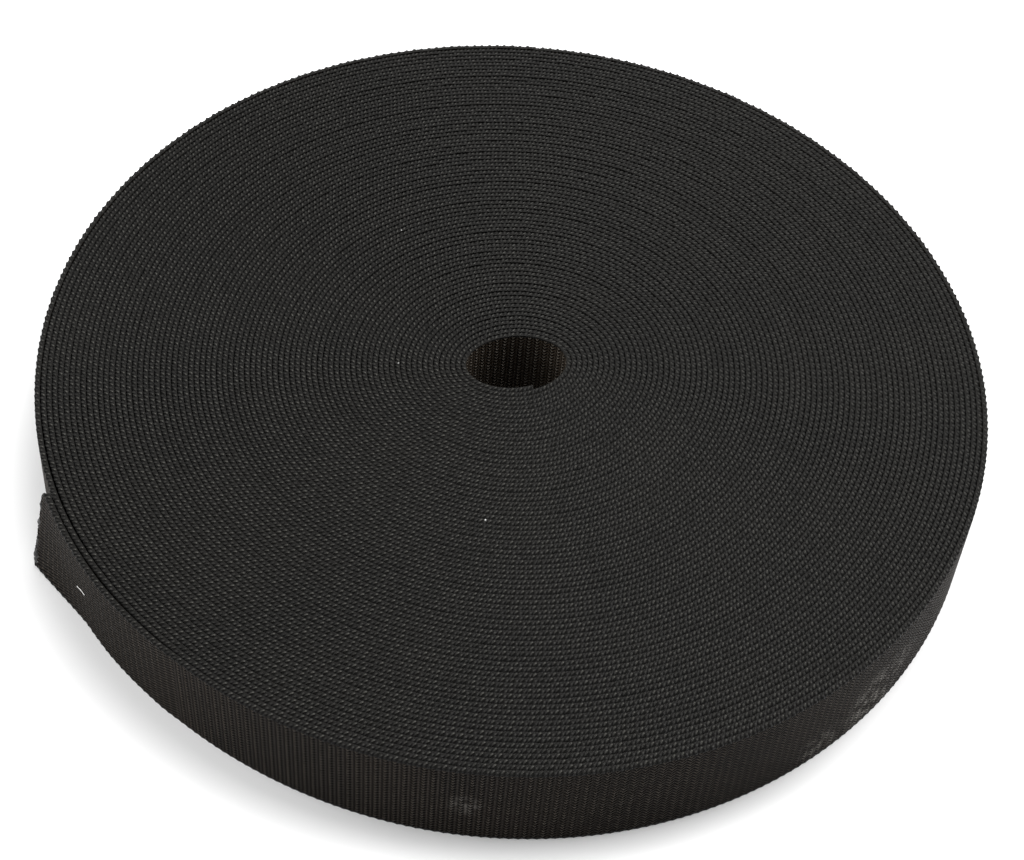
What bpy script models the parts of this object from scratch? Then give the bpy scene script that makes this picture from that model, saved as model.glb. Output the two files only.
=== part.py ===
"""A roll of black polypropylene webbing, wound on itself round an open hole, its outer end sprung free."""

import math

import bmesh
import bpy
from mathutils import Vector

# Lengths are in metres and angles in degrees, counted anticlockwise from +X as seen from above.
# The roll lies on one face. The webbing is wound clockwise from the hole outwards.
WEBBING_WIDTH = 0.025
WEBBING_THICKNESS = 0.0012
ROLL_RADIUS = 0.1052
WHOLE_TURNS = 77

# The hole is an oval that sits a little off the roll's centre.
HOLE_LONG_HALF = 0.0105
HOLE_SHORT_HALF = 0.0071
HOLE_SLANT = 15.0
HOLE_CENTRE = Vector((0.0001, 0.0004))

# Where the webbing starts, where it lifts off the roll and where it is cut.
INNER_END_ANGLE = -54.0
LIFT_ANGLE = -126.0
OUTER_END_ANGLE = -153.8

# The roll bulges a little beside its end, and the turn under the end has come loose.
BULGE_ANGLE = -150.0
BULGE_HEIGHT = 0.0004
BULGE_SPREAD = 22.0
LOOSE_TURN_HEIGHT = 0.0006
LOOSE_TURN_SPREAD = 12.0

# The loose end stands off the roll, and leans out at its foot towards the cut.
# The shares are parts of its length, from where it leaves the roll.
LIFT_HEIGHT = 0.00035
LIFT_START = 0.12
LIFT_FULL = 0.52
LEAN_REACH = 0.0038
LEAN_START = 0.62
LEAN_CURVE = 1.5
CUT_SLANT = 1.2
FOOT_RISE = 0.0002

# The first and last turns have their true width. The ones between are drawn as a few wide bands.
WHOLE_BANDS = 10
GROOVE_DEPTH = 0.0005
GROOVE_HALF_WIDTH = 0.0005
GROOVE_SHARE = 0.3
GROOVE_FADE = 0.12

PIECE_GAP = 0.0003
WELD_DISTANCE = 0.00002
EDGE_ROUNDING = 0.0004
ROUNDING_STEPS = 1
SHARP_EDGE = math.radians(50)
SMOOTH_BELOW = math.radians(40)
WALL_TILT = 0.1
TURN_STEPS = 120
BAND_ROWS = 3
END_STEPS = 30
END_ROWS = 8

WEBBING_BLACK = (0.021, 0.020, 0.019, 1.0)
WEBBING_ROUGHNESS = 0.62
WEBBING_SHEEN = 0.2

# Turns of webbing between the wall of the hole and the outermost face, at the cut and at the lift.
ALL_LAYERS = WHOLE_TURNS + (INNER_END_ANGLE - OUTER_END_ANGLE) / 360 + 1
ROLL_LAYERS = WHOLE_TURNS + (INNER_END_ANGLE - LIFT_ANGLE) / 360 + 1
ROLL_BANDS = WHOLE_BANDS + (INNER_END_ANGLE - LIFT_ANGLE) / 360 + 1


def direction(angle):
    return Vector((math.cos(math.radians(angle)), math.sin(math.radians(angle))))


def bell(angle, spread):
    """A smooth rise beside the loose end, 1 at its middle."""
    away = (angle - BULGE_ANGLE + 180) % 360 - 180
    return math.exp(-((away / spread) ** 2))


def smooth(share):
    share = min(max(share, 0.0), 1.0)
    return share * share * (3 - 2 * share)


def hole_radius(angle):
    """Distance from the roll's centre to the oval, along this angle."""
    slant = math.radians(HOLE_SLANT)
    ray = direction(angle)
    turned = Vector((
        ray.x * math.cos(slant) + ray.y * math.sin(slant),
        ray.y * math.cos(slant) - ray.x * math.sin(slant),
    ))
    centre = Vector((
        HOLE_CENTRE.x * math.cos(slant) + HOLE_CENTRE.y * math.sin(slant),
        HOLE_CENTRE.y * math.cos(slant) - HOLE_CENTRE.x * math.sin(slant),
    ))
    square = (turned.x / HOLE_LONG_HALF) ** 2 + (turned.y / HOLE_SHORT_HALF) ** 2
    cross = (
        turned.x * centre.x / HOLE_LONG_HALF**2 + turned.y * centre.y / HOLE_SHORT_HALF**2
    )
    inside = 1 - (centre.x / HOLE_LONG_HALF) ** 2 - (centre.y / HOLE_SHORT_HALF) ** 2
    return (cross + math.sqrt(cross * cross + square * inside)) / square


def layer_radius(angle, layers):
    """Radius reached after this many layers, counted out from the oval."""
    start = hole_radius(angle)
    rim = ROLL_RADIUS + BULGE_HEIGHT * bell(angle, BULGE_SPREAD)
    return start + (rim - start) * layers / ALL_LAYERS


def band_layers(turns):
    """Layers out from the oval at the seam that has been wound this many turns, from 0 to ROLL_BANDS."""
    if turns <= 1:
        return turns
    share = min((turns - 1) / (ROLL_BANDS - 2), 1.0)
    widened = share - math.sin(2 * math.pi * share) / (2 * math.pi)
    return turns + (ROLL_LAYERS - ROLL_BANDS) * widened


def seam_radius(turns):
    """Distance from the centre to the seam, which follows the winding out from the hole."""
    angle = INNER_END_ANGLE - 360 * turns
    near_rim = smooth((turns - ROLL_BANDS + 2) / 2)
    loose = LOOSE_TURN_HEIGHT * bell(angle, LOOSE_TURN_SPREAD) * near_rim
    return layer_radius(angle, band_layers(turns)) + loose


def seam_depth(turns):
    """The groove between two bands. It runs out at the hole's wall and at the rim."""
    inner = smooth((turns - 1) / GROOVE_FADE)
    outer = smooth((ROLL_BANDS - 1 - turns) / GROOVE_FADE)
    return GROOVE_DEPTH * inner * outer


def band_point(turns, row):
    """A point on the roll's upper face. Rows 0 and 3 are seams, rows 1 and 2 the shoulders beside them."""
    inner = seam_radius(turns)
    outer = seam_radius(turns + 1)
    shoulder = min(GROOVE_HALF_WIDTH, GROOVE_SHARE * (outer - inner))
    radius = (inner, inner + shoulder, outer - shoulder, outer)[row]
    depth = (seam_depth(turns), 0.0, 0.0, seam_depth(turns + 1))[row]
    flat = direction(INNER_END_ANGLE - 360 * turns) * radius
    return Vector((flat.x, flat.y, WEBBING_WIDTH - depth))


def footprint_centre(points):
    """Middle of the points' box, which becomes the origin."""
    across = [point.x for point in points]
    along = [point.y for point in points]
    return Vector(((min(across) + max(across)) / 2, (min(along) + max(along)) / 2))


def webbing_material():
    """Matt black spun polypropylene with a faint sheen."""
    material = bpy.data.materials.new("black_webbing")
    material.use_nodes = True
    shader = material.node_tree.nodes["Principled BSDF"]
    shader.inputs["Base Color"].default_value = WEBBING_BLACK
    shader.inputs["Roughness"].default_value = WEBBING_ROUGHNESS
    shader.inputs["Metallic"].default_value = 0.0
    shader.inputs["Sheen Weight"].default_value = WEBBING_SHEEN
    material.diffuse_color = WEBBING_BLACK
    return material


def add_piece(name, mesh_builder, material, collection):
    """A new object that holds the mesh built for it."""
    piece = bpy.data.objects.new(name, bpy.data.meshes.new(name))
    mesh_builder.to_mesh(piece.data)
    mesh_builder.free()
    piece.data.materials.append(material)
    collection.objects.link(piece)
    return piece


def round_edges(piece, limit):
    """Rounds the sharp or the weighted edges, like the woven selvedge."""
    bevel = piece.modifiers.new("rounded_edges", "BEVEL")
    bevel.width = EDGE_ROUNDING
    bevel.segments = ROUNDING_STEPS
    bevel.limit_method = limit
    bevel.angle_limit = SHARP_EDGE
    piece.data.shade_smooth()
    piece.data.set_sharp_from_angle(angle=SMOOTH_BELOW)


def wound_body():
    """The roll. One band is wound into a face, its turns are welded, and walls and a base close it."""
    builder = bmesh.new()
    rounding = builder.edges.layers.float.new("bevel_weight_edge")
    steps = round((ROLL_BANDS - 1) * TURN_STEPS)
    bmesh.ops.create_grid(builder, x_segments=steps, y_segments=BAND_ROWS, size=0.5)
    for vertex in builder.verts:
        turns = round((vertex.co.x + 0.5) * steps) / TURN_STEPS
        vertex.co = band_point(turns, round((vertex.co.y + 0.5) * BAND_ROWS))
    bmesh.ops.remove_doubles(builder, verts=builder.verts[:], dist=WELD_DISTANCE)
    rims = [edge for edge in builder.edges if edge.is_boundary]
    walls = bmesh.ops.extrude_edge_only(builder, edges=rims)["geom"]
    for vertex in [item for item in walls if isinstance(item, bmesh.types.BMVert)]:
        vertex.co.z = 0
    base_rims = [edge for edge in builder.edges if edge.is_boundary]
    bmesh.ops.bridge_loops(builder, edges=base_rims)
    bmesh.ops.recalc_face_normals(builder, faces=builder.faces[:])
    for edge in builder.edges:
        wall_faces = [face for face in edge.link_faces if abs(face.normal.z) < WALL_TILT]
        level = abs(edge.verts[0].co.z - edge.verts[1].co.z) < WELD_DISTANCE
        edge[rounding] = 1.0 if level and len(wall_faces) == 1 else 0.0
    return builder


def loose_end_point(along, up):
    """A point on the outer face of the loose end: along and up run from 0 to 1."""
    start = LIFT_ANGLE - math.degrees(PIECE_GAP / ROLL_RADIUS)
    end = OUTER_END_ANGLE + CUT_SLANT * (1 - up)
    angle = start + (end - start) * along
    layers = ALL_LAYERS - (angle - OUTER_END_ANGLE) / 360
    lean = LEAN_REACH * (max(along - LEAN_START, 0.0) / (1 - LEAN_START)) ** LEAN_CURVE
    lift = LIFT_HEIGHT * smooth((along - LIFT_START) / (LIFT_FULL - LIFT_START))
    radius = layer_radius(angle, layers) + PIECE_GAP + lift + lean * (1 - up)
    drop = math.sqrt(WEBBING_WIDTH**2 - lean**2) * (1 - up)
    foot_clearance = FOOT_RISE * smooth(along) * (1 - up)
    flat = direction(angle) * radius
    return Vector((flat.x, flat.y, WEBBING_WIDTH - drop + foot_clearance))


def loose_end_face():
    """The outer face of the loose end, from where it lifts off to its cut edge."""
    builder = bmesh.new()
    bmesh.ops.create_grid(builder, x_segments=END_STEPS, y_segments=END_ROWS, size=0.5)
    for vertex in builder.verts:
        vertex.co = loose_end_point(vertex.co.x + 0.5, vertex.co.y + 0.5)
    bmesh.ops.reverse_faces(builder, faces=builder.faces[:])
    return builder


def main():
    for old in list(bpy.data.objects):
        bpy.data.objects.remove(old)
    collection = bpy.data.collections.new("roll_of_webbing")
    bpy.context.scene.collection.children.link(collection)
    material = webbing_material()

    roll = add_piece("webbing_roll", wound_body(), material, collection)
    round_edges(roll, "WEIGHT")

    end = add_piece("loose_end", loose_end_face(), material, collection)
    solidify = end.modifiers.new("thickness", "SOLIDIFY")
    solidify.thickness = WEBBING_THICKNESS
    solidify.offset = -1
    round_edges(end, "ANGLE")

    centre = footprint_centre([vertex.co for vertex in roll.data.vertices])
    for piece in (roll, end):
        piece.location = (-centre.x, -centre.y, 0)


main()
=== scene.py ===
import math

import bmesh
import bpy
import numpy as np
from mathutils import Matrix, Vector


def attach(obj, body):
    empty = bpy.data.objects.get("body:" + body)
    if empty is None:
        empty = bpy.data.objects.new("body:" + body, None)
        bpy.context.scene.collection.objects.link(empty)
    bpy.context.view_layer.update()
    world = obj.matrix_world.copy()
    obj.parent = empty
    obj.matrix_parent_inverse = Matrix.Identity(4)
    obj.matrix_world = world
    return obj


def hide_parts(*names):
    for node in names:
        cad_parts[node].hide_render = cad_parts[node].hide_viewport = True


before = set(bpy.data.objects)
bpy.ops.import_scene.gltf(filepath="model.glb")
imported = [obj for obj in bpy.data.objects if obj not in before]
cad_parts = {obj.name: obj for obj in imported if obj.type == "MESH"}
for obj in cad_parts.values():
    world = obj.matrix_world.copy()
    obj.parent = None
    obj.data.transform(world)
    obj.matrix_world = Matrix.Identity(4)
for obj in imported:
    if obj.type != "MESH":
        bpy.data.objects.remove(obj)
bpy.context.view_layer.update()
print("frame loaded:", sorted(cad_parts))


# the winding, the same as the roll's solid: metres, and degrees anticlockwise from +X seen from above
winding = {
    "width": 0.025,
    "rollRadius": 0.1052,
    "wholeTurns": 77,
    "holeLongHalf": 0.0105,
    "holeShortHalf": 0.0071,
    "holeSlant": 15.0,
    "holeCentre": (0.0001, 0.0004),
    "innerEnd": -54.0,
    "lift": -126.0,
    "outerEnd": -153.8,
    "bulgeAngle": -150.0,
    "bulgeHeight": 0.0004,
    "bulgeSpread": 22.0,
    "looseTurnHeight": 0.0006,
    "looseTurnSpread": 12.0,
    "looseTurns": 2,
    "pack": 0.995,  # share of the room between two seams that the webbing fills
    "stepsPerTurn": 360,
    "overrun": 0.02,  # turns that the path runs on past both ends
}

allLayers = winding["wholeTurns"] + (winding["innerEnd"] - winding["outerEnd"]) / 360 + 1
rollTurns = winding["wholeTurns"] + (winding["innerEnd"] - winding["lift"]) / 360


def smooth(share):
    share = np.clip(share, 0, 1)
    return share * share * (3 - 2 * share)


def waves(share, parts):  # each part has a rate, a start and a height
    return sum(height * np.sin(rate * share + start) for rate, start, height in parts)


def bell(angle, spread):  # 1 beside the loose end, fading to 0 away from it
    away = (angle - winding["bulgeAngle"] + 180) % 360 - 180
    return np.exp(-((away / spread) ** 2))


def holeRadius(angle):  # distance from the roll's centre to the oval hole
    slant = math.radians(winding["holeSlant"])
    turned = np.radians(angle) - slant
    rayX = np.cos(turned) / winding["holeLongHalf"]
    rayY = np.sin(turned) / winding["holeShortHalf"]
    middleX, middleY = winding["holeCentre"]
    longWay = (middleX * math.cos(slant) + middleY * math.sin(slant)) / winding["holeLongHalf"]
    shortWay = (middleY * math.cos(slant) - middleX * math.sin(slant)) / winding["holeShortHalf"]
    square = rayX**2 + rayY**2
    cross = rayX * longWay + rayY * shortWay
    inside = 1 - longWay**2 - shortWay**2
    return (cross + np.sqrt(cross**2 + square * inside)) / square


def layerRadius(angle, layers):  # layers are counted out from the oval
    start = holeRadius(angle)
    rim = winding["rollRadius"] + winding["bulgeHeight"] * bell(angle, winding["bulgeSpread"])
    return start + (rim - start) * layers / allLayers


def seamRadius(turns):  # the webbing's inner face after so many turns
    angle = winding["innerEnd"] - 360 * turns
    nearRim = smooth((turns - rollTurns - 1) / winding["looseTurns"] + 1)
    loose = winding["looseTurnHeight"] * bell(angle, winding["looseTurnSpread"]) * nearRim
    return layerRadius(angle, turns) + loose


def windRoute():  # the middle line of the webbing from the inner end to the lift
    over = winding["overrun"]
    turns = np.linspace(-over, rollTurns + over, round(rollTurns * winding["stepsPerTurn"]) + 1)
    angle = np.radians(winding["innerEnd"] - 360 * turns)
    outerSeam = seamRadius(turns + 1)
    degrees = np.degrees(angle)
    spacing = layerRadius(degrees, turns + 1) - layerRadius(degrees, turns)
    middle = outerSeam - spacing / 2
    last = turns > rollTurns - 1
    rimX = (outerSeam * np.cos(angle))[last]
    rimY = (outerSeam * np.sin(angle))[last]
    shiftX = -(rimX.min() + rimX.max()) / 2
    shiftY = -(rimY.min() + rimY.max()) / 2
    x = middle * np.cos(angle)
    y = middle * np.sin(angle)
    stepX = np.gradient(x)
    stepY = np.gradient(y)
    step = np.hypot(stepX, stepY)
    outX = -stepY / step  # wound clockwise, so outwards is on the left of the way along
    outY = stepX / step
    squareness = outX * np.cos(angle) + outY * np.sin(angle)
    length = np.concatenate(([0], np.cumsum(np.hypot(np.diff(x), np.diff(y)))))
    return {
        "length": length - np.interp(0, turns, length),
        "turns": turns,
        "x": x + shiftX,
        "y": y + shiftY,
        "outX": outX,
        "outY": outY,
        "thickness": spacing * squareness * winding["pack"],
        "centre": (shiftX, shiftY),
    }


route = windRoute()
rollLength = np.interp(rollTurns, route["turns"], route["length"])
print("webbing in the roll:", round(rollLength, 2), "m, centre", route["centre"])


# one repeat of the weave, two ribs long, with one loop of the selvedge
weave = {
    "repeat": 0.00188,
    "rows": 49,  # warp threads across a face, an odd number
    "margin": 0.0007,  # height of the selvedge above and below a face
    "slant": 0.22,  # share of a repeat that a loop leans by
    "grooveDip": 0.045,  # the dips in a face are in thicknesses
    "knotDip": 0.11,
    "plainDip": 0.07,
    "plainCrown": 0.01,
    "footShare": 0.45,  # relief of the lower selvedge against the upper one
    "footRounding": 0.00035,
    "steps": 4,
    "weld": 0.00001,
    "sharpAngle": 48,
}

threadHeight = (winding["width"] - 2 * weave["margin"]) / (weave["rows"] - 1)
beadCount = round(rollLength / weave["repeat"])
beadLength = rollLength / beadCount


# rows across the selvedge, from its inner edge outwards, and how far each stage lies below the crown
loopRows = (
    {"across": -0.50, "bridge": 0.00012, "side": 0.00018, "knot": 0.00010},
    {"across": -0.25, "bridge": 0.00012, "side": 0.00016, "knot": 0.00000},
    {"across": 0.00, "bridge": 0.00014, "side": 0.00022, "knot": 0.00001},
    {"across": 0.22, "bridge": 0.00013, "side": 0.00034, "knot": 0.00008},
    {"across": 0.50, "bridge": 0.00013, "side": 0.00053, "knot": 0.00041},
)
loopStages = ("bridge", "side", "knot", "side")
outermost = len(loopRows) - 1
edgeInset = {"bridge": -0.04, "side": 0.145, "knot": 0.12}  # of the outermost row, in thicknesses

# the outermost row where a face shows below it
rimRow = {"across": 0.50, "bridge": 0.00013, "side": 0.00036, "knot": 0.00042}
rimInset = {"bridge": 0.0, "side": 0.12, "knot": 0.20}


def loopPoint(step, row, onRim=False):  # the upper selvedge
    stage = loopStages[step % weave["steps"]]
    level = rimRow if onRim and row == outermost else loopRows[row]
    inset = rimInset[stage] if onRim else edgeInset[stage]
    across = level["across"] - (inset if row == outermost else 0)
    along = step / weave["steps"] + weave["slant"] * level["across"]
    return Vector((along * weave["repeat"], across, winding["width"] - level[stage]))


def footPoint(step, row):  # the lower selvedge, upside down and flatter
    point = loopPoint(step, row, True)
    if row == outermost:
        point.y = 0.5 + (point.y - 0.5) * weave["footShare"]
    point.z = (winding["width"] - point.z) * weave["footShare"]
    return point


def plainFootPoint(step, row):  # the lower edge of the turns whose faces stay hidden
    across = (-0.5, 0, 0.5)[row]
    along = step + weave["slant"] * across
    return Vector((along * weave["repeat"], across, 0 if row == 1 else weave["footRounding"]))


def ribPoint(step, row, side):  # a face of the webbing: ribs with a knot in every second row
    stage = loopStages[step % weave["steps"]]
    dip = weave["grooveDip"]
    if stage == "knot":
        dip = 0 if row % 2 else weave["knotDip"]
    if stage == "bridge":
        dip = weave["plainDip"] if row % 2 else weave["plainCrown"]
    height = weave["margin"] + row * threadHeight
    along = step / weave["steps"] + weave["slant"] * 0.5 * side
    return Vector((along * weave["repeat"], side * (0.5 - dip), height))


# shader maths as Python expressions
class Wire:
    def __init__(self, graph, socket):
        self.graph = graph
        self.socket = socket

    def __add__(self, other):
        return self.graph.maths("ADD", self, other)

    def __radd__(self, other):
        return self.graph.maths("ADD", other, self)

    def __sub__(self, other):
        return self.graph.maths("SUBTRACT", self, other)

    def __rsub__(self, other):
        return self.graph.maths("SUBTRACT", other, self)

    def __mul__(self, other):
        return self.graph.maths("MULTIPLY", self, other)

    def __rmul__(self, other):
        return self.graph.maths("MULTIPLY", other, self)

    def __truediv__(self, other):
        return self.graph.maths("DIVIDE", self, other)

    def output(self, index):  # another output of the same node
        return Wire(self.graph, self.socket.node.outputs[index])


class Graph:
    def __init__(self, name):
        self.material = bpy.data.materials.new(name)
        self.material.use_nodes = True
        self.tree = self.material.node_tree
        self.tree.nodes.clear()

    def node(self, kind, settings, inputs, output=0):
        made = self.tree.nodes.new(kind)
        for key, value in settings.items():
            setattr(made, key, value)
        for key, value in inputs.items():
            if isinstance(value, Wire):
                self.tree.links.new(value.socket, made.inputs[key])
            else:
                made.inputs[key].default_value = value
        return Wire(self, made.outputs[output]) if made.outputs else made

    def maths(self, operation, first, second=0.0):
        return self.node("ShaderNodeMath", {"operation": operation}, {0: first, 1: second})

    def range(self, value, low, high):  # 0 below low, 1 above high
        inputs = {"Value": value, "From Min": low, "From Max": high}
        return self.node("ShaderNodeMapRange", {"interpolation_type": "SMOOTHSTEP"}, inputs)

    def noise(self, place, scale, detail=2.0):
        inputs = {"Vector": place, "Scale": scale, "Detail": detail}
        return self.node("ShaderNodeTexNoise", {}, inputs, "Fac")

    def mix(self, factor, first, second):
        return self.node("ShaderNodeMix", {"data_type": "RGBA"}, {0: factor, 6: first, 7: second}, 2)

    def place(self):
        return self.node("ShaderNodeTexCoord", {}, {}, "Object")

    def split(self, vector):  # its first number, with the second as output 1 and the third as output 2
        return self.node("ShaderNodeSeparateXYZ", {}, {0: vector})

    def woven(self, name):  # repeats along the webbing, with the UV map's other number as output 1
        return self.split(self.node("ShaderNodeUVMap", {"uv_map": name}, {}))

    def finish(self, shader):
        self.node("ShaderNodeOutputMaterial", {}, {"Surface": shader})
        return self.material


# colours are linear
finish = {
    # painted shade: outer is the selvedge's darker outer side next to the shaded slots, inner its lighter
    # inner side
    "outer": (0.0020, 0.0019, 0.0016, 1),
    "inner": (0.0040, 0.0036, 0.0029, 1),
    "worn": (0.0062, 0.0055, 0.0044, 1),
    # painted highlight, laid on the crowns of the loops
    "paintedHighlight": (0.058, 0.0565, 0.0505, 1),
    # painted shade, laid in the pits and grooves
    "pitShade": (0.0007, 0.0006, 0.0005, 1),
    "chalk": (0.24, 0.228, 0.210, 1),
    # white lint, and also the painted highlight glints on the melted cut
    "lintAndPaintedGlint": (0.75, 0.75, 0.73, 1),
    "thread": (0.85, 0.84, 0.82, 1),
    "threadRoughness": 0.6,
    "roughness": 0.42,
    "sheen": 0.03,
    "specular": 0.12,
    "faceSpecular": 0.035,
}

# the ribbed face on the rim, and lighter copies of it as painted light on the loose end and in the hole,
# browner in the shade of the hole
rimColours = {
    "dark": (0.0070, 0.0053, 0.0040, 1),
    "light": (0.0106, 0.0077, 0.0056, 1),
    # the brightest colour and the plain shares are painted highlight on the knots and the plain ribs
    "paintedHighlight": (0.0590, 0.0505, 0.0420, 1),
    "plain": 0.18,
    "plainKnots": 0.15,
    "columns": 1.0,
    "slanted": False,
}
endPaintedLightColours = {
    "dark": (0.0135, 0.0108, 0.0084, 1),
    "light": (0.0165, 0.0132, 0.0104, 1),
    "paintedHighlight": (0.060, 0.0500, 0.0410, 1),
    "plain": 0.0,
    "plainKnots": 0.10,
    "columns": 0.15,
    "slanted": True,
}
holePaintedLightColours = {
    "dark": (0.0250, 0.0175, 0.0110, 1),
    "light": (0.0340, 0.0240, 0.0155, 1),
    "paintedHighlight": (0.190, 0.1720, 0.1480, 1),
    "plain": 0.05,
    "plainKnots": 0.85,
    "columns": 0.25,
    "slanted": False,
}

# pale marks rubbed onto the rim: middle, reach, and how much of the crowns they cover
scuffs = (
    {"spot": (0.0815, -0.0665, 0.006), "reach": 0.0130, "cover": 1.0},
    {"spot": (0.0870, -0.0595, 0.011), "reach": 0.0065, "cover": 0.80},
    {"spot": (0.0700, -0.0785, 0.004), "reach": 0.0080, "cover": 0.60},
    {"spot": (-0.0020, -0.1046, 0.012), "reach": 0.0045, "cover": 0.45},
)

# white dots of lint
lint = {
    "reach": 0.00030,
    "spots": (
        (-0.02906, 0.03781, 0.0249),
        (-0.02566, -0.00249, 0.0249),
        (-0.00328, -0.04334, 0.0249),
        (0.07204, -0.07625, 0.0248),
    ),
}

coreShare = 0.25  # share of its reach over which a scuff or a dot is full

# noise that unsettles the finishes: cells a metre, and the range of it that counts
grain = {
    "edgeBroad": 55,
    "edgePatchy": 700,
    "faceBroad": 40,
    "facePatchy": 900,
    "fine": 2600,
    "fineDetail": 3.0,
    "streaks": 420,
    "broadRange": (0.35, 0.68),
    "patchyRange": (0.3, 0.7),
    "streakRange": (0.38, 0.64),
}

# what one repeat of the selvedge shows, in repeats along and thicknesses across
loopMarks = {
    "knot": {"at": 0.50, "level": 0.00, "reach": 0.17, "height": 0.42, "core": 0.1},
    "tip": {"at": 0.42, "level": -0.18, "reach": 0.15, "height": 0.22, "core": 0.3},
    "bridge": {"at": 0.00, "level": 0.08, "reach": 0.16, "height": 0.30, "core": 0.1},
    "pitBefore": {"at": 0.25, "level": 0.20, "reach": 0.12, "height": 0.58, "core": 0.3},
    "pitAfter": {"at": 0.76, "level": 0.20, "reach": 0.12, "height": 0.58, "core": 0.3},
}

# how much each mark of the selvedge brightens with painted highlight, darkens with painted shade, raises or
# dulls it
edgeLook = {
    "knotShare": 0.4,
    "bridgeShare": 0.35,
    "twistAlong": 3,  # plies of a loop's thread
    "twistAcross": 1.5,
    # painted shade: where the selvedge turns from its lighter inner side to its darker outer side
    "shadeTowardsOuter": (-0.45, 0.35),
    "worn": 0.3,
    # painted highlight on the crowns, evenly and in patches
    "highlightBase": 0.35,
    "highlightPatches": 1.1,
    "depth": 0.00018,
    "twistHeight": 0.2,
    "pitHeight": 0.78,
    "fuzzHeight": 0.4,
    "crownGloss": 0.12,
    "fuzzDull": 0.2,
    "pitDull": 0.4,
}


def loopMark(graph, leaned, across, mark):  # 1 at the middle of a mark that recurs in every repeat
    beside = graph.maths("PINGPONG", leaned - mark["at"], 0.5) / mark["reach"]
    level = (across - mark["level"]) / mark["height"]
    return 1 - graph.range(graph.maths("SQRT", beside * beside + level * level), mark["core"], 1.0)


def selvedgeMarks(graph):  # a knot with a tip painted bright as a highlight, a smaller crown between, and pits beside them painted dark as shade
    along = graph.woven("edge")
    across = along.output(1)
    leaned = along - across * weave["slant"]
    marks = {name: loopMark(graph, leaned, across, mark) for name, mark in loopMarks.items()}
    plies = leaned * edgeLook["twistAlong"] - across * edgeLook["twistAcross"]
    twist = graph.maths("SINE", plies * (2 * math.pi))
    pitsWithPaintedShade = graph.maths("MAXIMUM", marks["pitBefore"], marks["pitAfter"])
    crowns = graph.maths("MAXIMUM", marks["tip"], edgeLook["knotShare"] * marks["knot"])
    crowns = graph.maths("MAXIMUM", crowns, edgeLook["bridgeShare"] * marks["bridge"])
    return across, crowns, pitsWithPaintedShade, twist


def near(graph, place, middle, reach):  # 1 about this middle, 0 beyond its reach
    away = graph.node("ShaderNodeVectorMath", {"operation": "DISTANCE"}, {0: place, 1: middle}, 1)
    return 1 - graph.range(away, coreShare * reach, reach)


def specks(graph, place):
    total = 0
    for dot in lint["spots"]:
        total = near(graph, place, dot, lint["reach"]) + total
    return total


def edgeMaterial(name, depth):  # depth is how dark the painted shade in the pits is, and how deep they are
    graph = Graph(name)
    place = graph.place()
    broad = graph.range(graph.noise(place, grain["edgeBroad"]), *grain["broadRange"])
    patchy = graph.range(graph.noise(place, grain["edgePatchy"]), *grain["patchyRange"])
    fine = graph.noise(place, grain["fine"], grain["fineDetail"])
    across, crowns, pitsWithPaintedShade, twist = selvedgeMarks(graph)
    # painted highlight: the crowns of the loops are painted bright where light glints on them
    highlightShare = crowns * (edgeLook["highlightBase"] + edgeLook["highlightPatches"] * patchy)
    # painted shade: the selvedge is painted darker towards its outer side, by the shaded slots, and lighter
    # on its inner side
    colour = graph.mix(graph.range(across, *edgeLook["shadeTowardsOuter"]), finish["inner"], finish["outer"])
    colour = graph.mix(edgeLook["worn"] * broad, colour, finish["worn"])
    colour = graph.mix(highlightShare, colour, finish["paintedHighlight"])
    # painted shade: the pits are painted dark where shade falls in them
    colour = graph.mix(depth * pitsWithPaintedShade, colour, finish["pitShade"])
    colour = graph.mix(specks(graph, place), colour, finish["lintAndPaintedGlint"])
    height = crowns + edgeLook["twistHeight"] * twist - (edgeLook["pitHeight"] * depth) * pitsWithPaintedShade
    height = height + edgeLook["fuzzHeight"] * fine
    roughness = finish["roughness"] - edgeLook["crownGloss"] * crowns
    roughness = roughness + edgeLook["fuzzDull"] * fine + edgeLook["pitDull"] * pitsWithPaintedShade
    bump = {"Strength": 1.0, "Distance": edgeLook["depth"], "Height": height}
    return graph.finish(graph.node("ShaderNodeBsdfPrincipled", {}, {
        "Base Color": colour,
        "Roughness": roughness,
        "Specular IOR Level": finish["specular"],
        "Sheen Weight": finish["sheen"],
        "Normal": graph.node("ShaderNodeBump", {}, bump),
    }))


def rubbed(graph, place):  # how strongly the pale marks cover this spot
    total = 0
    for scuff in scuffs:
        cover = scuff["cover"] * near(graph, place, scuff["spot"], scuff["reach"])
        total = graph.maths("MAXIMUM", total, cover)
    return total * graph.range(graph.noise(place, grain["streaks"]), *grain["streakRange"])


# where the marks of a ribbed face begin or end, in repeats away from the middle of a knot rib
faceMarks = {
    "knotEnds": (0.10, 0.23),
    "rowEnds": (0.26, 0.50),
    "pitBegins": (0.01, 0.10),
    "grooveBegins": (0.15, 0.27),
    "grooveEnds": (0.32, 0.42),
    "waveEnds": (0.24, 0.38),
    "plainBegins": (0.39, 0.47),
}

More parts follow.
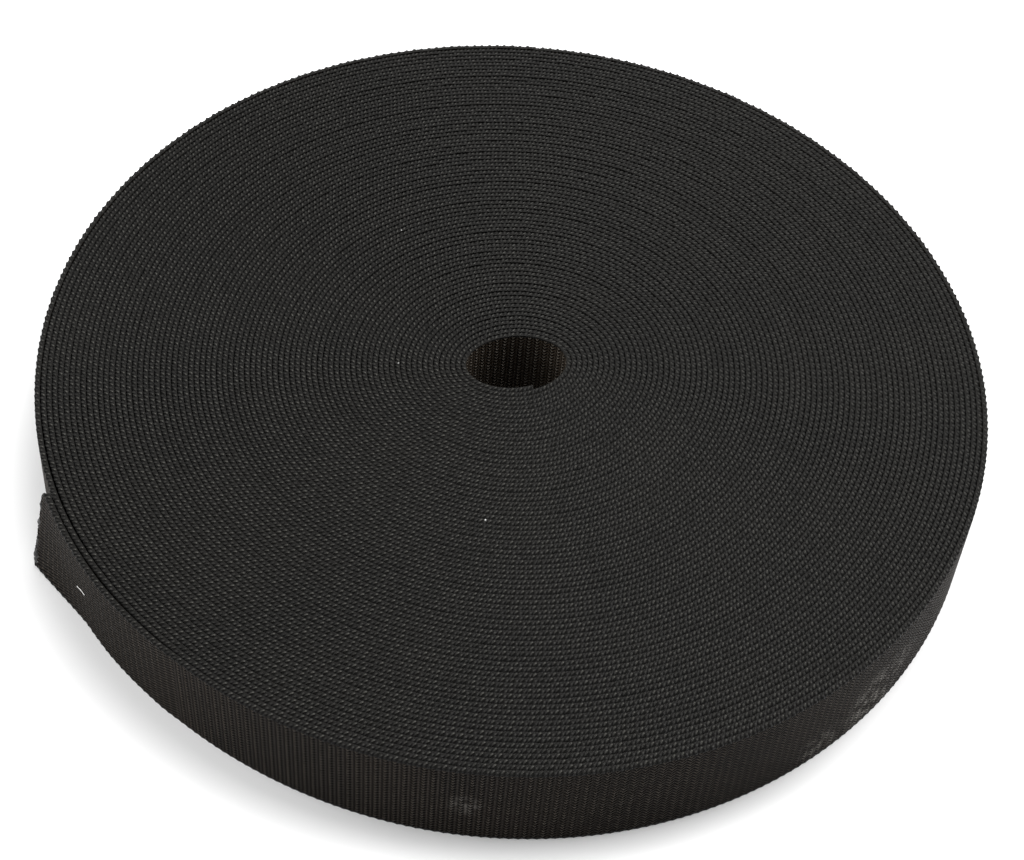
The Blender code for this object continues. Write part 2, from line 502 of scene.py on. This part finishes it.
# how the knots rise and fall up a face, and how much each mark brightens with painted highlight, darkens
# with painted shade, raises or dulls it
faceLook = {
    "lean": -2.0,  # pairs of threads that a knot's sides hang by, a repeat away from its middle
    "crest": (0.1, 0.9),
    "trough": (-0.75, 0.35),
    "rowsFrom": (-0.005, 0.045),  # metres to the right, where columns give way to rows: following how the light falls, the painted groove shade fades there and the painted knot highlights run as rows
    "rowStrength": 0.62,
    "plainCalm": 0.8,
    # painted shade in the grooves, waving along them
    "grooveShadeDepth": 0.50,
    "grooveWave": 0.25,
    # painted highlight on the crowns, evenly and in patches
    "highlightBase": 0.4,
    "highlightPatches": 0.9,
    # painted shade in the pits
    "pitShadeDepth": 0.95,
    "chalkBase": 0.45,
    "chalkCrowns": 0.55,
    "depth": 0.00024,
    "ribHeight": 0.14,
    "knotWaveHeight": 0.40,
    "waveHeight": 0.08,
    "knotHeight": 0.4,
    "fuzzHeight": 0.2,
    "fuzzDull": 0.15,
    "pitDull": 0.3,
}


def faceMaterial(name, colours):  # every second rib is a column of knots with slanted pits on both sides; painted highlight on knots and plain ribs, painted shade in pits and grooves
    graph = Graph(name)
    place = graph.place()
    along = graph.woven("face")
    up = along.output(1)
    fromKnot = graph.maths("PINGPONG", along + 0.5, 0.5)
    lean = along if colours["slanted"] else fromKnot * faceLook["lean"]
    wave = graph.maths("COSINE", (up + lean) * (2 * math.pi))
    inRows = graph.range(graph.split(place), *faceLook["rowsFrom"])
    columns = colours["columns"] * (1 - inRows)
    onKnotRib = 1 - faceLook["plainCalm"] * columns * graph.range(fromKnot, *faceMarks["waveEnds"])
    knotWidth = (1 - graph.range(fromKnot, *faceMarks["knotEnds"])) * (1 - inRows)
    rowWidth = (1 - graph.range(fromKnot, *faceMarks["rowEnds"])) * inRows
    knots = graph.range(wave, *faceLook["crest"]) * (knotWidth + rowWidth * faceLook["rowStrength"])
    # the grooves carry only painted shade
    grooveShade = columns * graph.range(fromKnot, *faceMarks["grooveBegins"])
    grooveShade = grooveShade * (1 - graph.range(fromKnot, *faceMarks["grooveEnds"]))
    pitsWithPaintedShade = (1 - graph.range(wave, *faceLook["trough"])) * onKnotRib
    pitsWithPaintedShade = pitsWithPaintedShade * graph.range(fromKnot, *faceMarks["pitBegins"])
    pitsWithPaintedShade = graph.maths("MAXIMUM", pitsWithPaintedShade, grooveShade * (faceLook["grooveShadeDepth"] - faceLook["grooveWave"] * wave))
    between = 0.5 - 0.5 * graph.maths("COSINE", up * (2 * math.pi))
    plain = colours["plain"] * columns + colours["plainKnots"] * between
    plain = graph.range(fromKnot, *faceMarks["plainBegins"]) * plain
    crowns = graph.maths("MAXIMUM", knots, plain)

    broad = graph.range(graph.noise(place, grain["faceBroad"]), *grain["broadRange"])
    patchy = graph.range(graph.noise(place, grain["facePatchy"]), *grain["patchyRange"])
    fine = graph.noise(place, grain["fine"], grain["fineDetail"])
    chalk = faceLook["chalkBase"] + faceLook["chalkCrowns"] * crowns
    colour = graph.mix(broad, colours["dark"], colours["light"])
    # painted highlight: knots and plain ribs are painted bright where light glints on them
    highlightShare = crowns * (faceLook["highlightBase"] + faceLook["highlightPatches"] * patchy)
    colour = graph.mix(highlightShare, colour, colours["paintedHighlight"])
    # painted shade: pits and grooves are painted dark where shade falls in them
    colour = graph.mix(faceLook["pitShadeDepth"] * pitsWithPaintedShade, colour, finish["pitShade"])
    colour = graph.mix(rubbed(graph, place) * chalk * (1 - pitsWithPaintedShade), colour, finish["chalk"])

    rib = graph.maths("COSINE", along * (4 * math.pi)) * 0.5 + 0.5
    height = faceLook["ribHeight"] * rib * columns + faceLook["knotHeight"] * knots
    height = height + faceLook["knotWaveHeight"] * wave * onKnotRib + faceLook["waveHeight"] * wave
    height = height + faceLook["fuzzHeight"] * fine
    bump = {"Strength": 1.0, "Distance": faceLook["depth"], "Height": height}
    return graph.finish(graph.node("ShaderNodeBsdfPrincipled", {}, {
        "Base Color": colour,
        "Roughness": finish["roughness"] + faceLook["fuzzDull"] * fine + faceLook["pitDull"] * pitsWithPaintedShade,
        "Specular IOR Level": finish["faceSpecular"],
        "Normal": graph.node("ShaderNodeBump", {}, bump),
    }))


# webbing melted by the hot cut, glossy, with whitish glints painted low down on its outer side as
# highlights
melted = {
    "lumps": 900,
    "paintedGlintRange": (0.54, 0.60),
    "paintedGlintsFrom": (0.0008, 0.0016),
    "paintedGlintsTo": (0.0050, 0.0062),
    "outwards": 0.16,
    "outerSide": (-0.0988, -0.0985),
    "roughness": 0.28,
    "lumpsDull": 0.2,
    "strength": 0.8,
    "depth": 0.0003,
}


def meltedMaterial():
    graph = Graph("melted_edge")
    place = graph.place()
    right = graph.split(place)
    height = right.output(2)
    lumps = graph.noise(place, melted["lumps"])
    # painted highlight: whitish glints laid on the glossy melt, kept low down and to its outer side
    paintedGlints = graph.range(lumps, *melted["paintedGlintRange"]) * graph.range(height, *melted["paintedGlintsFrom"])
    paintedGlints = paintedGlints * (1 - graph.range(height, *melted["paintedGlintsTo"]))
    paintedGlints = paintedGlints * graph.range(right - melted["outwards"] * height, *melted["outerSide"])
    bump = {"Strength": melted["strength"], "Distance": melted["depth"], "Height": lumps}
    return graph.finish(graph.node("ShaderNodeBsdfPrincipled", {}, {
        "Base Color": graph.mix(paintedGlints, finish["inner"], finish["lintAndPaintedGlint"]),
        "Roughness": melted["roughness"] + melted["lumpsDull"] * lumps,
        "Normal": graph.node("ShaderNodeBump", {}, bump),
    }))


def threadMaterial():
    graph = Graph("pale_thread")
    return graph.finish(graph.node("ShaderNodeBsdfPrincipled", {}, {
        "Base Color": finish["thread"],
        "Roughness": finish["threadRoughness"],
    }))


edgeFinish = edgeMaterial("selvedge", depth=0.7)
rimFinish = edgeMaterial("rim_selvedge", depth=0.5)
faceFinish = faceMaterial("ribbed_face", rimColours)
# painted light: the hole's and the loose end's copies of the ribbed face are painted lighter than the rim's
holeFinish = faceMaterial("hole_face_painted_light", holePaintedLightColours)
endFinish = faceMaterial("loose_end_face_painted_light", endPaintedLightColours)
meltedFinish = meltedMaterial()
threadFinish = threadMaterial()


def addGrid(tile, along, across, place):  # a grid laid by a rule, and its two long borders
    made = bmesh.ops.create_grid(tile, x_segments=along, y_segments=across, size=0.5)["verts"]
    borders = {-0.5: [], 0.5: []}
    for edge in {edge for vertex in made for edge in vertex.link_edges}:
        levels = {round(vertex.co.y, 3) for vertex in edge.verts}
        if levels in ({-0.5}, {0.5}):
            borders[levels.pop()].append(edge)
    for vertex in made:
        vertex.co = place(round((vertex.co.x + 0.5) * along), round((vertex.co.y + 0.5) * across))
    return borders[-0.5], borders[0.5]


def webbingTile(ribbedSides):  # one repeat of the closed webbing, flat
    tile = bmesh.new()
    steps = weave["steps"]
    top = addGrid(tile, steps, outermost, lambda step, row: loopPoint(step, row, 1 in ribbedSides))
    if ribbedSides:
        foot = addGrid(tile, steps, outermost, footPoint)
    else:
        foot = addGrid(tile, 1, 2, plainFootPoint)
    for side, upper, lower in ((-1, top[0], foot[0]), (1, top[1], foot[1])):
        if side in ribbedSides:
            rows = weave["rows"] - 1
            low, high = addGrid(tile, steps, rows, lambda step, row: ribPoint(step, row, side))
            bmesh.ops.bridge_loops(tile, edges=upper + high)
            bmesh.ops.bridge_loops(tile, edges=lower + low)
        else:
            bmesh.ops.bridge_loops(tile, edges=upper + lower)
    return tile


def repeated(name, tile, beads):  # the tile many times in a row, merged into one mesh
    tileMesh = bpy.data.meshes.new(name + "_tile")
    tile.to_mesh(tileMesh)
    tile.free()
    tileObject = bpy.data.objects.new(name + "_tile", tileMesh)
    bpy.context.scene.collection.objects.link(tileObject)
    repeat = tileObject.modifiers.new("repeat", "ARRAY")
    repeat.count = beads
    repeat.use_relative_offset = False
    repeat.use_constant_offset = True
    repeat.constant_offset_displace = (weave["repeat"], 0, 0)
    repeat.use_merge_vertices = True
    repeat.merge_threshold = weave["weld"]
    seen = tileObject.evaluated_get(bpy.context.evaluated_depsgraph_get())
    whole = bpy.data.meshes.new_from_object(seen)
    bpy.data.objects.remove(tileObject)
    return whole


def closeEnds(mesh):  # caps both ends and turns all faces outwards
    closed = bmesh.new()
    closed.from_mesh(mesh)
    ends = [edge for edge in closed.edges if edge.is_boundary]
    bmesh.ops.holes_fill(closed, edges=ends)
    bmesh.ops.recalc_face_normals(closed, faces=closed.faces[:])
    closed.to_mesh(mesh)
    closed.free()


def giveFinishes(mesh, ribbedSides):  # the selvedges come first, then the faces between them
    mesh.materials.append(rimFinish if 1 in ribbedSides else edgeFinish)
    if ribbedSides:
        mesh.materials.append({(-1,): holeFinish, (1,): faceFinish, (-1, 1): endFinish}[ribbedSides])
        fromMiddle = np.array([abs(face.center.z - winding["width"] / 2) for face in mesh.polygons])
        onEdge = fromMiddle > winding["width"] / 2 - weave["margin"]
        mesh.polygons.foreach_set("material_index", 1 - onEdge.astype(np.int32))


def straightWebbing(name, beads, ribbedSides=()):
    whole = repeated(name, webbingTile(ribbedSides), beads)
    closeEnds(whole)
    whole.shade_smooth()
    whole.set_sharp_from_angle(angle=math.radians(weave["sharpAngle"]))
    piece = bpy.data.objects.new(name, whole)
    bpy.context.scene.collection.objects.link(piece)
    weaveCoordinates(piece)
    giveFinishes(whole, ribbedSides)
    return piece


def points(piece):
    flat = np.empty(len(piece.data.vertices) * 3)
    piece.data.vertices.foreach_get("co", flat)
    return flat.reshape(-1, 3)


def movePoints(piece, places):
    piece.data.vertices.foreach_set("co", places.ravel())
    piece.data.update()


def weaveCoordinates(piece):  # UV in repeats along the webbing, and pairs of threads up it or its thickness
    places = points(piece)
    corners = np.empty(len(piece.data.loops), dtype=np.int64)
    piece.data.loops.foreach_get("vertex_index", corners)
    repeats = places[:, 0] / weave["repeat"]
    pairs = (places[:, 2] - weave["margin"] - threadHeight) / (2 * threadHeight)
    for name, other in (("face", pairs), ("edge", places[:, 1])):
        spots = np.stack((repeats, other), axis=1)
        layer = piece.data.uv_layers.new(name=name)
        layer.data.foreach_set("uv", spots[corners].ravel())


# how far the real webbing strays from a perfect winding
unevenness = {
    "slip": 0.00030,
    "slipLengths": (0.047, 0.113, 0.31),
    "slipShift": 1.7,
    "turnHeight": 0.00012,
    "turnWaves": ((2.4, 0, 1), (0.9, 2, 1), (6.3, 0.7, 1)),
    "loopHeight": 0.00005,
    "loopSlide": 0.00006,
    "loopDepth": 0.002,  # how far down a loop of the selvedge slides and rises
    "loopFade": 0.001,
    "endFade": 0.02,  # length over which all this dies out at both ends
    "seamSlack": 0.01,  # share of a repeat by which a point counts with the next loop
    "seed": 7,
    "footIn": 0.0009,  # how far the roll's foot is drawn in, about this angle
    "footInAngle": -122.0,
    "footInSpread": 32.0,
    "footInTurns": 14,
}

loopRandom = np.random.default_rng(unevenness["seed"]).normal(size=(beadCount + 1, 2))


def wander(along):  # a smooth random-looking curve between about -1 and 1
    total = 0
    for order, length in enumerate(unevenness["slipLengths"]):
        total = total + np.sin(2 * math.pi * along / length + unevenness["slipShift"] * order * order)
    return total / len(unevenness["slipLengths"])


def topLevel(turns):  # how far the upper edge of a turn lies below the highest one
    ring = waves(turns, unevenness["turnWaves"])
    return unevenness["turnHeight"] * (1 - ring / len(unevenness["turnWaves"]))


def drawnIn(angle, turns, up):  # how far a turn's lower part is pulled in
    away = (angle - unevenness["footInAngle"] + 180) % 360 - 180
    beside = np.exp(-((away / unevenness["footInSpread"]) ** 2))
    outer = smooth(1 - (rollTurns - turns) / unevenness["footInTurns"])
    return unevenness["footIn"] * beside * outer * (1 - up)


def windOn(piece, firstBead):  # bends the straight webbing round the roll
    places = points(piece)
    bead = firstBead + places[:, 0] / weave["repeat"]
    along = bead * beadLength
    fade = smooth(along / unevenness["endFade"])
    fade = fade * smooth((rollLength - along) / unevenness["endFade"])
    loop = np.floor(bead + unevenness["seamSlack"]).astype(int)
    own = loopRandom[np.clip(loop, 0, beadCount)]
    nearTop = places[:, 2] - winding["width"] + unevenness["loopDepth"]
    nearTop = smooth(nearTop / unevenness["loopFade"])
    along = along + fade * unevenness["slip"] * wander(along)
    along = along + fade * nearTop * unevenness["loopSlide"] * own[:, 0]
    turns = np.interp(along, route["length"], route["turns"])
    height = fade * unevenness["loopHeight"] * own[:, 1] * nearTop - topLevel(turns)
    across = places[:, 1] * np.interp(along, route["length"], route["thickness"])
    across = across - drawnIn(winding["innerEnd"] - 360 * turns, turns, places[:, 2] / winding["width"])
    x = np.interp(along, route["length"], route["x"])
    y = np.interp(along, route["length"], route["y"])
    x = x + across * np.interp(along, route["length"], route["outX"])
    y = y + across * np.interp(along, route["length"], route["outY"])
    z = places[:, 2] + height * places[:, 2] / winding["width"]
    movePoints(piece, np.stack((x, y, z), axis=1))


# the winding in lengths that stay light, with the turns whose faces show made finer
lengths = {
    "fullRolls": 5,
    "innerTurns": 1.3,
    "outerTurns": 1.12,
}


def beadAt(turns):  # the repeat that lies so many turns from the inner end
    return round(np.interp(turns, route["turns"], route["length"]) / beadLength)


def woundPiece(name, firstBead, lastBead, ribbedSides=()):
    piece = straightWebbing(name, lastBead - firstBead, ribbedSides)
    windOn(piece, firstBead)
    return piece


windingPieces = []
firstPlain = beadAt(lengths["innerTurns"])
lastPlain = beadAt(rollTurns - lengths["outerTurns"])
windingPieces.append(woundPiece("inner_turn", 0, firstPlain, (-1,)))
for part in range(lengths["fullRolls"]):
    start = firstPlain + (lastPlain - firstPlain) * part // lengths["fullRolls"]
    end = firstPlain + (lastPlain - firstPlain) * (part + 1) // lengths["fullRolls"]
    windingPieces.append(woundPiece(f"wound_webbing_{part + 1}", start, end))
windingPieces.append(woundPiece("outer_turn", lastPlain, beadCount, (1,)))
print("turns wound:", len(windingPieces), "pieces")


# the loose end, on the same path as its solid
looseEnd = {
    "gap": 0.0002,
    "thickness": 0.0012,
    "liftHeight": 0.00025,
    "liftStart": 0.12,
    "liftFull": 0.52,
    "bulgeFade": 0.25,
    "leanReach": 0.0044,
    "leanStart": 0.62,
    "leanCurve": 1.5,
    "footRise": 0.0002,
    "cutSlant": -0.05,  # the cut is in degrees round the roll, and its corners in shares of the width
    "cutPast": 0.22,
    "cutRoughness": 0.07,
    "cutWaves": ((21, 6.1, 1), (53, 0, 0.7), (118, 2, 0.5)),
    "footCorner": 0.45,
    "footCornerHeight": 0.05,
    "topCorner": 0.60,
    "topCornerHeight": 0.10,
}


def raggedCut(up):  # degrees that the melted cut falls short by
    foot = looseEnd["footCorner"] * (1 - smooth(up / looseEnd["footCornerHeight"]))
    top = looseEnd["topCorner"] * (1 - smooth((1 - up) / looseEnd["topCornerHeight"]))
    return looseEnd["cutRoughness"] * waves(up, looseEnd["cutWaves"]) + foot + top - looseEnd["cutPast"]


def looseEndPoints(along, up, depth):  # depth is counted in from the outer face
    end = winding["outerEnd"] + looseEnd["cutSlant"] * (1 - up) + raggedCut(up)
    angle = winding["lift"] + (end - winding["lift"]) * along
    layers = allLayers - (angle - winding["outerEnd"]) / 360
    leanShare = np.clip(along - looseEnd["leanStart"], 0, None) / (1 - looseEnd["leanStart"])
    lean = looseEnd["leanReach"] * leanShare ** looseEnd["leanCurve"]
    liftShare = (along - looseEnd["liftStart"]) / (looseEnd["liftFull"] - looseEnd["liftStart"])
    off = looseEnd["gap"] * smooth(along / looseEnd["liftStart"])
    off = off + looseEnd["liftHeight"] * smooth(liftShare)
    loose = winding["looseTurnHeight"] * bell(angle, winding["looseTurnSpread"])
    loose = loose * (1 - smooth(along / looseEnd["bulgeFade"]))
    radius = layerRadius(angle, layers) + loose + off + lean * (1 - up) - depth
    radius = radius - drawnIn(angle, rollTurns, up)
    drop = np.sqrt(winding["width"] ** 2 - lean**2) * (1 - up)
    rise = looseEnd["footRise"] * smooth(along) * (1 - up)
    rise = rise - topLevel(rollTurns + (winding["lift"] - angle) / 360) * up
    x = radius * np.cos(np.radians(angle)) + route["centre"][0]
    y = radius * np.sin(np.radians(angle)) + route["centre"][1]
    return np.stack((x, y, winding["width"] - drop + rise), axis=1)


def looseEndLength():
    along = np.linspace(0, 1, 200)
    line = looseEndPoints(along, np.ones_like(along), 0.5 * looseEnd["thickness"])
    return np.linalg.norm(np.diff(line, axis=0), axis=1).sum()


freeLength = looseEndLength()
freeBeads = round(freeLength / weave["repeat"])
freePiece = straightWebbing("loose_end_webbing", freeBeads, (-1, 1))
flat = points(freePiece)
movePoints(freePiece, looseEndPoints(
    flat[:, 0] / weave["repeat"] / freeBeads,
    flat[:, 2] / winding["width"],
    (0.5 - flat[:, 1]) * looseEnd["thickness"],
))
print("loose end:", round(freeLength * 1000, 1), "mm long")


# small pieces on the loose end, each a closed lumpy cord: the melted cut and a stray thread
meltedCut = {
    "radius": 0.00055,
    "swelling": 0.0004,  # at its foot
    "swellingStart": 0.08,
    "swellingFade": 0.25,
    "lumps": 0.00011,
    "lumpWaves": ((24, 1, 1), (57, 0, 0.8), (101, 2, 0.6)),
    "along": 0.998,
    "inset": 0.012,
    "depth": 0.5,
    "sway": ((31, 0, 0.12),),
    "rings": 90,
    "sides": 10,
}
strayThread = {
    "radius": 0.00008,
    "from": 0.597,
    "to": 0.669,
    "up": 0.49,
    "slope": 0.035,
    "bend": ((4, 0, 0.006),),
    "clear": 0.8,  # how far its middle stands off the face, in radii
    "rings": 24,
    "sides": 6,
}
cordShape = {
    "ahead": 0.01,  # share of its length that its direction is taken over
    "aside": (0.31, 0.22, 0.92),
    "bluntness": 16,  # of the rounded ends
    "weld": 0.000002,
}


def cord(name, size, middle, radius, material):  # middle and radius go by the share of its length
    tube = bmesh.new()
    bmesh.ops.create_grid(tube, x_segments=size["rings"], y_segments=size["sides"], size=0.5)
    for vertex in tube.verts:
        share = vertex.co.x + 0.5
        turn = 2 * math.pi * (vertex.co.y + 0.5)
        before = middle(max(share - cordShape["ahead"], 0))
        forward = (middle(min(share + cordShape["ahead"], 1)) - before).normalized()
        side = forward.cross(Vector(cordShape["aside"])).normalized()
        over = side.cross(forward)
        reach = radius(share) * math.sqrt(max(1 - (2 * share - 1) ** cordShape["bluntness"], 0))
        vertex.co = middle(share) + reach * (math.cos(turn) * side + math.sin(turn) * over)
    bmesh.ops.remove_doubles(tube, verts=tube.verts[:], dist=cordShape["weld"])
    bmesh.ops.recalc_face_normals(tube, faces=tube.faces[:])
    piece = bpy.data.objects.new(name, bpy.data.meshes.new(name))
    tube.to_mesh(piece.data)
    tube.free()
    piece.data.shade_smooth()
    piece.data.materials.append(material)
    bpy.context.scene.collection.objects.link(piece)
    return piece


def onLooseEnd(along, up, depth):
    return Vector(looseEndPoints(np.array([along]), np.array([up]), depth)[0])


def cutMiddle(share):
    up = meltedCut["inset"] + (1 - 2 * meltedCut["inset"]) * share
    depth = meltedCut["depth"] + waves(share, meltedCut["sway"])
    return onLooseEnd(meltedCut["along"], up, depth * looseEnd["thickness"])


def cutRadius(share):
    fade = smooth((share - meltedCut["swellingStart"]) / meltedCut["swellingFade"])
    lumps = meltedCut["lumps"] * waves(share, meltedCut["lumpWaves"])
    return float(meltedCut["radius"] + meltedCut["swelling"] * (1 - fade) + lumps)


def threadMiddle(share):
    along = strayThread["from"] + (strayThread["to"] - strayThread["from"]) * share
    up = strayThread["up"] + strayThread["slope"] * (1 - share) + waves(share, strayThread["bend"])
    return onLooseEnd(along, up, -strayThread["clear"] * strayThread["radius"])


endPieces = [
    cord("melted_cut", meltedCut, cutMiddle, cutRadius, meltedFinish),
    cord("stray_thread", strayThread, threadMiddle, lambda share: strayThread["radius"], threadFinish),
]
print("melted cut and stray thread made")


for piece in windingPieces:
    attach(piece, "root")
    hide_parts("webbing_roll")

for piece in [freePiece] + endPieces:
    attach(piece, "root")
    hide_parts("loose_end")
print("pieces placed")


# camera, as the photograph was taken
camera = {
    "lens": 84.9,
    "elevation": 50.59,
    "roll": 5.29,
    "distance": 0.5315,
    "rollCentreRight": -0.00051,
    "rollCentreUp": 0.01444,
    "nearest": 0.01,
}


def setCamera():
    elevation = math.radians(camera["elevation"])
    forward = Vector((0, math.cos(elevation), -math.sin(elevation)))
    up = Vector((0, math.sin(elevation), math.cos(elevation)))
    right = Vector((1, 0, 0))
    target = Vector((0, 0, winding["width"]))
    spot = target - camera["rollCentreRight"] * right - camera["rollCentreUp"] * up
    spot = spot - camera["distance"] * forward
    turn = math.radians(camera["roll"])
    axisX = math.cos(turn) * right + math.sin(turn) * up
    axisY = math.cos(turn) * up - math.sin(turn) * right
    data = bpy.data.cameras.new("camera")
    data.lens = camera["lens"]
    data.clip_start = camera["nearest"]
    eye = bpy.data.objects.new("camera", data)
    bpy.context.scene.collection.objects.link(eye)
    eye.matrix_world = Matrix.Translation(spot) @ Matrix((axisX, axisY, -forward)).transposed().to_4x4()
    bpy.context.scene.camera = eye


# a white floor under a white sky, and three softboxes
studio = {
    "floorSize": 6.0,
    "floorColour": (0.90, 0.90, 0.90, 1),
    "floorRoughness": 0.9,
    "worldColour": (1, 1, 1, 1),
    "worldStrength": 0.40,
}

softboxes = [
    {"name": "key", "spot": (0.60, 0.30, 0.95), "size": 0.8, "power": 13.6},
    {"name": "fill", "spot": (-0.85, -0.05, 0.72), "size": 0.8, "power": 9.6},
    {"name": "overhead", "spot": (0.10, 0.22, 1.20), "size": 0.5, "power": 7.0},
]


def addFloor():
    floor = bmesh.new()
    bmesh.ops.create_grid(floor, x_segments=1, y_segments=1, size=studio["floorSize"] / 2)
    mesh = bpy.data.meshes.new("floor")
    floor.to_mesh(mesh)
    floor.free()
    floorObject = bpy.data.objects.new("floor", mesh)
    bpy.context.scene.collection.objects.link(floorObject)
    graph = Graph("floor")
    mesh.materials.append(graph.finish(graph.node("ShaderNodeBsdfPrincipled", {}, {
        "Base Color": studio["floorColour"],
        "Roughness": studio["floorRoughness"],
        "Specular IOR Level": 0.0,
    })))


def addSoftbox(box):  # turned to the middle of the roll
    light = bpy.data.lights.new(box["name"], "AREA")
    light.size = box["size"]
    light.energy = box["power"]
    lamp = bpy.data.objects.new(box["name"], light)
    lamp.location = box["spot"]
    lamp.rotation_euler = (-Vector(box["spot"])).to_track_quat("-Z", "Y").to_euler()
    bpy.context.scene.collection.objects.link(lamp)


def addSky():
    world = bpy.data.worlds.new("studio")
    world.use_nodes = True
    background = world.node_tree.nodes["Background"]
    background.inputs["Color"].default_value = studio["worldColour"]
    background.inputs["Strength"].default_value = studio["worldStrength"]
    bpy.context.scene.world = world
    bpy.context.scene.view_settings.view_transform = "Standard"


setCamera()
addFloor()
for box in softboxes:
    addSoftbox(box)
addSky()
print("camera and studio set")
